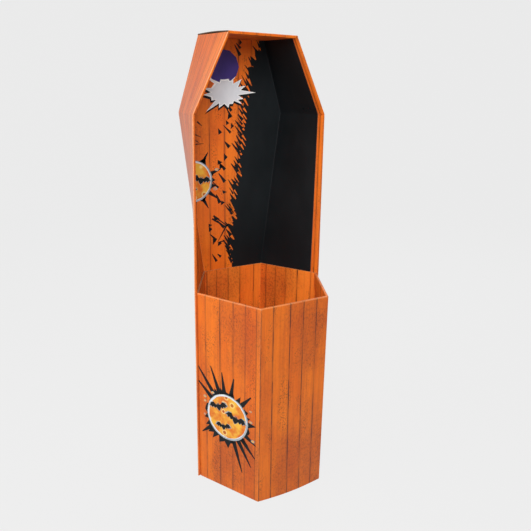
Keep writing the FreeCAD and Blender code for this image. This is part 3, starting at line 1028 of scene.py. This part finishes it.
def spiky(centre, reach, inner, count, seed, squash=1.0, long_ones=()):
    """A burst: points that go out and in round a centre, each a little different."""
    chance = random.Random(seed)
    outline = []
    for index in range(count):
        turn = 2 * math.pi * (index + chance.uniform(-0.2, 0.2)) / count
        out = reach * chance.uniform(0.66, 1.0) * dict(long_ones).get(index, 1.0)
        outline.append(polar(centre, turn, out, out * squash))
        turn = 2 * math.pi * (index + 0.5 + chance.uniform(-0.12, 0.12)) / count
        deep = inner * chance.uniform(0.88, 1.08)
        outline.append(polar(centre, turn, deep, deep * squash))
    return outline


def scaled(outline, centre, factor, shift=(0.0, 0.0)):
    """An outline made larger or smaller about a centre, and shifted."""
    return [
        (centre[0] + (x - centre[0]) * factor + shift[0], centre[1] + (z - centre[1]) * factor + shift[1])
        for x, z in outline]


def rounded_disc(centre, wide, tall, count, seed, uneven=0.03):
    """A disc with a slightly uneven edge."""
    chance = random.Random(seed)
    outs = [1 + chance.uniform(-uneven, uneven) for index in range(count)]
    return [polar(centre, 2 * math.pi * i / count, wide * out, tall * out) for i, out in enumerate(outs)]


BAT_HALF = (
    (0.0, 0.20), (0.07, 0.40), (0.12, 0.22), (0.26, 0.24), (0.46, 0.46), (0.76, 0.40), (1.0, 0.06),
    (0.83, 0.10), (0.71, -0.08), (0.57, 0.04), (0.43, -0.14), (0.28, -0.02), (0.13, -0.24), (0.0, -0.36))


def bat(centre, size, tilt):
    """A small bat with spread wings."""
    outline = list(BAT_HALF) + [(-x, z) for x, z in BAT_HALF[-2:0:-1]]
    cos, sin = math.cos(tilt), math.sin(tilt)
    return [
        (centre[0] + size * (x * cos - z * sin), centre[1] + size * (x * sin + z * cos))
        for x, z in outline]


def shard(start, length, width, angle):
    """A splinter: broad where it starts, narrow where it ends."""
    side = angle + math.pi / 2
    end = polar(start, angle, length)
    return [
        polar(start, side, width / 2), polar(start, side, -width / 2),
        polar(end, side, -width / 10), polar(end, side, width / 10)]


print("bat outline:", len(bat((0, 0), 1, 0)), "points")

# %% [markdown]
# The shapes of one panel become one mesh. A higher layer lies a little further out,
# so the ink on top hides the ink below it.

# %% Laying shapes on a panel
LAYER = 0.00018
BATS = ((-0.42, 0.34, 0.46, 0.25), (0.40, 0.02, 0.50, -0.2), (-0.18, -0.48, 0.38, 0.1))


def lay_print(name, shapes, start, direction, outward, joints, first):
    """Makes one mesh of flat shapes. A shape is (layer, ink, outline in metres)."""
    work = bmesh.new()
    sheet_map = work.loops.layers.uv.new("sheet")
    plank_map = work.loops.layers.uv.new("planks")
    for layer, ink, outline in shapes:
        plans = [start + direction * along + outward * (LAYER * (layer + 1)) for along, height in outline]
        face = work.faces.new([work.verts.new((*plan, spot[1])) for plan, spot in zip(plans, outline)])
        face.material_index = ink
        face.normal_update()
        for loop, (along, height) in zip(face.loops, outline):
            loop[sheet_map].uv = (along, height)
            loop[plank_map].uv = (float(plank_number(along, joints, first)), height)
        if face.normal.dot(Vector((*outward, 0.0))) < 0:
            face.normal_flip()
    bmesh.ops.triangulate(work, faces=work.faces, ngon_method="EAR_CLIP")
    return add_thing(name, mesh_from(work, name, INKS))


def night_motif(centre, moon, reach, seed, width, rays):
    """A moon with bats on a blot of ink. A ray is (degrees, reach, length added to it)."""
    chance = random.Random(seed)
    shapes = [(1, BLACK_INK, spiky(centre, reach, moon * 1.06, 24, seed))]
    for turn, out, length in rays:
        angle = math.radians(turn)
        shapes.append((1, BLACK_INK, shard(polar(centre, angle, moon), out - moon + length, width, angle)))
    lit = (centre[0] - moon * 0.02, centre[1] + moon * 0.02)
    for layer, ink, middle, size, number, uneven in (
            (2, STEEL_INK, centre, moon, seed, 0.008), (3, GREY_INK, lit, moon * 0.955, seed, 0.008),
            (4, MOON_INK, centre, moon * 0.90, seed + 1, 0.012)):
        shapes.append((layer, ink, rounded_disc(middle, size, size, 40, number, uneven)))
    for x, z, size, tilt in BATS:
        place = (centre[0] + x * moon, centre[1] + z * moon)
        shapes.append((5, STEEL_INK, bat(place, size * moon * 1.1, tilt)))
        shapes.append((6, BLACK_INK, bat(place, size * moon, tilt)))
    for index in range(7):
        angle = chance.uniform(0, 2 * math.pi)
        place = polar(centre, angle, moon * chance.uniform(1.12, 1.4))
        size = chance.uniform(0.004, 0.009)
        shapes.append((2, STEEL_INK, rounded_disc(place, size, size * 0.7, 12, index)))
        shapes.append((3, MOON_INK, rounded_disc(place, size * 0.7, size * 0.45, 12, index)))
    return shapes


print("motif of", len(night_motif((0, 0), 0.07, 0.11, 1, 0.01, ())), "shapes")

# %% [markdown]
# ## The black field
# The black field covers the back of the lining up to a splintered edge. Each tooth
# of the edge is an orange splinter that points down to the right, and a black notch
# beside it. Loose black shards lie on the planks near the edge.

# %% The black field's edge
EDGE_PLACES = (
    (0.780, -0.004), (0.885, -0.024), (1.020, -0.010), (1.079, -0.019), (1.152, 0.004),
    (1.240, 0.018), (1.338, 0.031), (1.474, 0.037), (1.569, 0.062), (1.640, 0.090), (1.700, 0.120))
SLANT = math.radians(-52)
FIELD_TOP = LINER_TOP - 0.0005


def edge_place(height):
    """Where the black field begins at a height."""
    return float(np.interp(height, *zip(*EDGE_PLACES)))


def field_edge(seed):
    """The edge between its splinters, from the top down: small uneven teeth."""
    chance = random.Random(seed)
    outline = []
    height = FIELD_TOP - 0.004
    while height > RIM + 0.02:
        for way in (-1, 1):
            reach = way * chance.uniform(0.005, 0.019)
            outline.append((edge_place(height) + reach * 0.62, min(FIELD_TOP, height - reach * 0.79)))
            height -= chance.uniform(0.012, 0.020)
    return outline


def field_splinters(seed):
    """Orange splinters in the black, black ones on the planks, and loose chips."""
    chance = random.Random(seed)
    span = chance.uniform
    shapes = []
    height = FIELD_TOP - 0.012
    while height > RIM + 0.03:
        x = edge_place(height)
        down = SLANT + span(-0.12, 0.12)
        up = down + math.pi
        if chance.random() < 0.85:
            tooth = shard((x - 0.010, height + 0.012), span(0.026, 0.062), span(0.011, 0.024), down)
            shapes.append((2, PLANK_INK, tooth))
        if chance.random() < 0.85:
            notch = shard((x + 0.008, height - 0.012), span(0.026, 0.060), span(0.008, 0.017), up)
            shapes.append((3, BLACK_INK, notch))
        if chance.random() < 0.40:
            place = (x - span(0.024, 0.070), height)
            loose = shard(place, span(0.020, 0.048), span(0.009, 0.017), up + span(-0.3, 0.3))
            shapes.append((0, BLACK_INK, loose))
        if chance.random() < 0.35:
            place = (x - span(0.030, 0.095), height + span(-0.006, 0.006))
            chip = rounded_disc(place, span(0.009, 0.016), span(0.009, 0.016), 3, chance.random(), 0.3)
            shapes.append((0, BLACK_INK, chip))
        height -= span(0.014, 0.026)
    return shapes


def on_back(outline):
    """An outline held inside the back's left edge, where the side wall stands."""
    return [(max(x, 0.003 - bent(z, BACK_HALVES)), z) for x, z in outline]


right_edge = [(bent(z, BACK_HALVES) - 0.0025, z) for z in heights_between(0.780, FIELD_TOP, 0.06)]
field = [(edge_place(0.78), 0.780)] + right_edge + field_edge(12)
header_shapes = [(0, BLACK_INK, field)] + field_splinters(31)
print("black field:", len(field), "points")

# %% The header's print
BURST = (-0.033, 1.499)
ROUNDEL = (-0.046, 1.593)
LOOSE_SHARDS = (
    (0, 0.007, (-0.155, 1.392), 0.026, -40), (0, 0.007, (-0.185, 1.352), 0.050, -22),
    (0, 0.007, (-0.185, 1.334), 0.044, -30), (0, 0.007, (-0.185, 1.306), 0.056, 3),
    (3, 0.008, (-0.090, 1.020), 0.090, -38), (3, 0.008, (-0.096, 1.008), 0.070, -34),
    (3, 0.008, (-0.030, 0.975), 0.080, -122), (3, 0.008, (-0.064, 0.905), 0.026, 12))
header_rays = ((20, 0.098, 0.03), (-35, 0.10, 0.035), (-60, 0.098, 0.03), (60, 0.098, 0.03))
burst_shape = spiky(BURST, 0.098, 0.063, 17, 5, 0.70, ((0, 1.5), (2, 1.15), (11, 1.95), (7, 0.9)))
header_shapes += [
    (4, WHITE_INK, rounded_disc((ROUNDEL[0] - 0.006, ROUNDEL[1] - 0.006), 0.069, 0.062, 44, 3, 0.004)),
    (5, VIOLET_INK, rounded_disc(ROUNDEL, 0.071, 0.061, 11, 7, 0.02)),
    (6, BLACK_INK, scaled(burst_shape, BURST, 1.05, (-0.002, -0.007))),
    (7, WHITE_INK, burst_shape),
    (8, GREY_INK, scaled(burst_shape, BURST, 0.89)),
]
for layer, width, place, length, angle in LOOSE_SHARDS:
    header_shapes.append((layer, BLACK_INK, shard(place, length, width, math.radians(angle))))
header_shapes += night_motif((-0.176, 1.164), 0.082, 0.104, 17, 0.016, header_rays)
header_shapes = [(layer, ink, on_back(outline)) for layer, ink, outline in header_shapes]
back_line = np.array((0.0, FRONT_LINE + BACK_DEPTH))
header_print = lay_print(
    "header_printed_shapes", header_shapes, back_line, np.array((1.0, 0.0)), np.array((0.0, -1.0)),
    lining_back_joints, 520)
raise_rear(header_print)
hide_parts("header_liner")
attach(header_print, "root")
print("header print:", len(header_shapes), "shapes")

# %% [markdown]
# ## The bin's print
# The bin's front left panel carries a larger motif. Its rays are given one by one,
# as degrees round the moon, a reach from its middle and a length added to that.

# %% Make the bin's print
bin_start = moved_in([GAP] * 6)[0]
bin_way = (RING[1] - RING[0]) / np.linalg.norm(RING[1] - RING[0])
bin_outward = np.array([bin_way[1], -bin_way[0]])
bin_rays = (
    (112, 0.125, 0.085), (128, 0.125, 0.105), (140, 0.118, 0.070), (98, 0.125, 0.060), (80, 0.125, 0.050),
    (-46, 0.125, 0.060), (-58, 0.128, 0.080), (-72, 0.128, 0.100), (-30, 0.122, 0.030), (-140, 0.120, 0.040),
    (48, 0.122, 0.040))
bin_shapes = night_motif((0.138, 0.316), 0.096, 0.136, 23, 0.021, bin_rays)
bin_print = lay_print(
    "bin_printed_motif", bin_shapes, bin_start, bin_way, bin_outward, OUTSIDE_JOINTS[0], 700)
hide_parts("bin_sleeve")
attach(bin_print, "root")
print("bin print:", len(bin_shapes), "shapes")

# %% [markdown]
# ## The parts inside the bin
# The false floor, its supports and the base are plain flat boards whose solids are
# right as they are, so only their finish is set.

# %% Finish the inner boards
for name in ("goods_tray", "base_tray", "support_across", "support_fore_aft"):
    board = frame["nodes"][name]
    board.data.materials.clear()
    board.data.materials.append(brown_board)
    print("plain board on", name)

# %% [markdown]
# ## Floor, light and camera
# The floor runs up into a backdrop. Seen by the camera it is mostly its own pale
# colour, so it looks even and still takes the object's shadow. The light is soft: a
# strong lamp in front, weaker ones at the left and behind, and a weak even sky. The
# camera sees a paler sky than the one that lights the stand, for views from behind.

# %% The floor
PALE = rgb(235, 235, 235)
OWN_PALE = 0.93
BACKDROP_BEND = 4

floor_finish = Finish("pale_floor")
camera_ray, glossy_ray, clear_ray = (
    floor_finish.node("ShaderNodeLightPath", None, None, ray)
    for ray in ("Is Camera Ray", "Is Glossy Ray", "Is Transmission Ray"))
seen = floor_finish.sums("MAXIMUM", floor_finish.sums("MAXIMUM", camera_ray, glossy_ray), clear_ray)
paper = floor_finish.node("ShaderNodeBsdfDiffuse", None, {"Color": rgb(190, 190, 190)})
glow = floor_finish.node("ShaderNodeEmission", None, {"Color": PALE, "Strength": 1.056})
mixed = floor_finish.node("ShaderNodeMixShader", None, {0: seen * OWN_PALE, 1: paper, 2: glow})
floor_finish.link(floor_finish.tree.nodes["Material Output"].inputs["Surface"], mixed)


def pale_sweep(name):
    """A floor that curves up into a backdrop."""
    turns = np.linspace(0, math.pi / 2, 13)[1:]
    path = [(y, 0.0) for y in np.linspace(-12, 5, 13)]
    path += [(5 + BACKDROP_BEND * math.sin(turn), BACKDROP_BEND * (1 - math.cos(turn))) for turn in turns]
    path.append((9, 14))
    work = bmesh.new()
    rows = [[work.verts.new((x, y, z - 0.0006)) for x in np.linspace(-14, 14, 9)] for y, z in path]
    for low, high in zip(rows, rows[1:]):
        for index in range(8):
            work.faces.new((low[index], low[index + 1], high[index + 1], high[index]))
    mesh = mesh_from(work, name, [floor_finish.material])
    mesh.polygons.foreach_set("use_smooth", [True] * len(mesh.polygons))
    return add_thing(name, mesh)


floor = pale_sweep("pale_sweep")
print("floor:", len(floor.data.polygons), "faces")

# %% The light
world = bpy.data.worlds.new("soft_sky")
bpy.context.scene.world = world
world.use_nodes = True
sky = world.node_tree.nodes["Background"]
sky.inputs["Color"].default_value = (1.0, 1.0, 1.0, 1.0)
ray = world.node_tree.nodes.new("ShaderNodeLightPath")
level = world.node_tree.nodes.new("ShaderNodeMapRange")
level.inputs["To Min"].default_value = 0.25
level.inputs["To Max"].default_value = 0.83
world.node_tree.links.new(ray.outputs["Is Camera Ray"], level.inputs["Value"])
world.node_tree.links.new(level.outputs["Result"], sky.inputs["Strength"])


def soft_lamp(name, place, aim_height, size, power):
    """A square lamp that looks at the stand's middle line."""
    data = bpy.data.lights.new(name, "AREA")
    data.size = size
    data.energy = power
    lamp = add_thing(name, data)
    lamp.location = place
    way = Vector((0, 0, aim_height)) - Vector(place)
    lamp.rotation_euler = way.to_track_quat("-Z", "Y").to_euler()


soft_lamp("front_lamp", (-1.4, -2.5, 2.7), 0.8, 1.8, 98)
soft_lamp("left_lamp", (-3.0, 0.1, 2.1), 0.7, 1.8, 42)
soft_lamp("back_lamp", (2.4, 2.2, 3.4), 0.9, 2.0, 60)
print("lamps:", sum(1 for thing in bpy.data.objects if thing.type == "LIGHT"))

# %% [markdown]
# The camera's place was worked out from the photograph's corners and the stand's
# own sizes. A camera looks along its own -Z, so its axes are put together from the
# direction it looks in, its right and its up.

# %% The camera
CAMERA_PLACE = Vector((-1.06585, -1.83037, 1.50048))
YAW, PITCH, ROLL = 0.534956, -0.293397, 0.0178135
FOCAL_PIXELS, FRAME_PIXELS = 570.084, 531
looking = Vector((math.sin(YAW) * math.cos(PITCH), math.cos(YAW) * math.cos(PITCH), math.sin(PITCH)))
level_right = Vector((math.cos(YAW), -math.sin(YAW), 0.0))
level_up = level_right.cross(looking)
right = level_right * math.cos(ROLL) + level_up * math.sin(ROLL)
up = level_up * math.cos(ROLL) - level_right * math.sin(ROLL)
view = bpy.data.cameras.new("photo_view")
view.sensor_width = 36.0
view.lens = FOCAL_PIXELS * view.sensor_width / FRAME_PIXELS
camera = add_thing("photo_view", view)
axes = Matrix((right, up, -looking)).transposed().to_4x4()
camera.matrix_world = Matrix.Translation(CAMERA_PLACE) @ axes
bpy.context.scene.camera = camera
bpy.context.scene.view_settings.view_transform = "Standard"
print("lens:", round(view.lens, 2), "mm")
